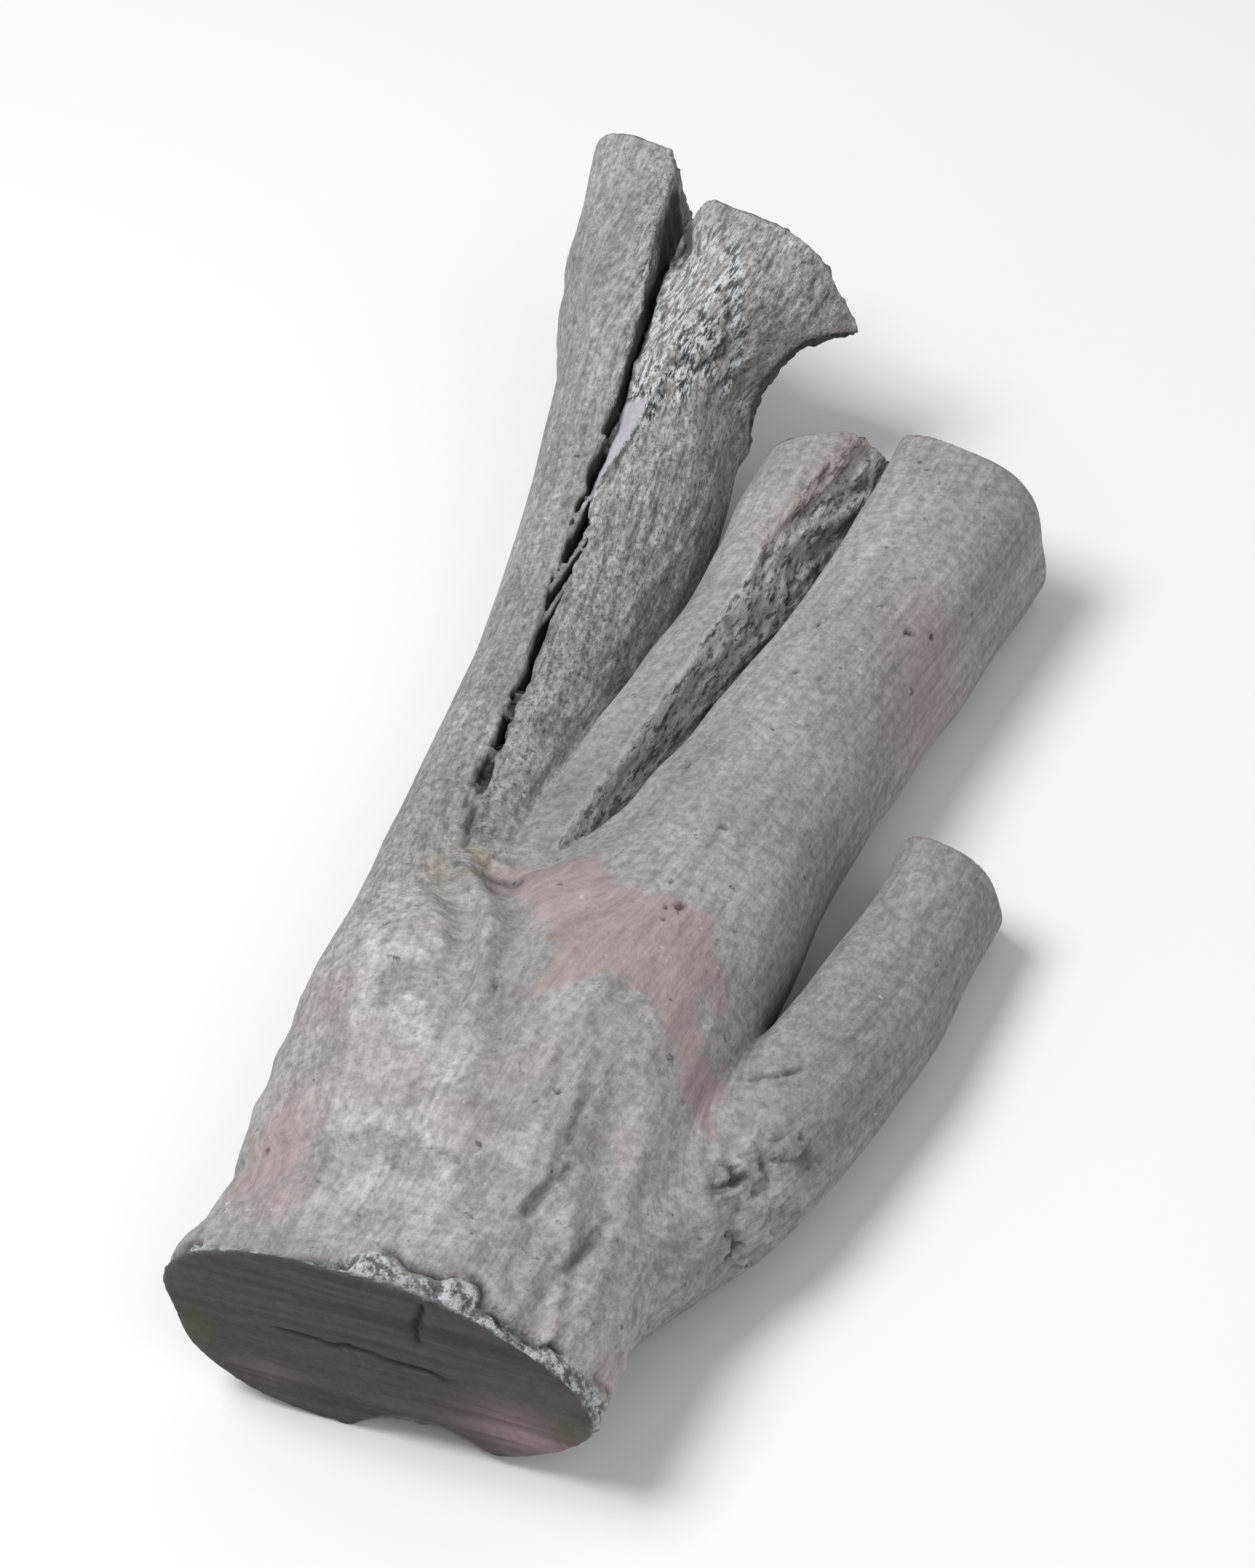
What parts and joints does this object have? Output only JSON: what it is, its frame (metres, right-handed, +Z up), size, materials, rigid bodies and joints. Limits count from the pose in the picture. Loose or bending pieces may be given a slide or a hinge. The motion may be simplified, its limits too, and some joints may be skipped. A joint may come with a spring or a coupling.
{
  "type": "charcoal lump",
  "caption": "Forked hardwood charcoal lump: a sawn trunk end, a long cracked limb, a split round limb and a short stub, lying on its belly.",
  "frame": {"origin": "middle of the bounding box on the underside the lump lies on", "axes": "+Y along the grain from the sawn end to the limb tips, +Z up, +X towards the stub"},
  "size_m": [0.1108, 0.262, 0.0581],
  "materials": {
    "charred_wood": "matt ash-dusted charcoal, grey outside and near black on sawn, split and broken faces"
  },
  "bodies": {
    "root": {"charcoal_lump": "charred_wood"}
  },
  "joints": []
}
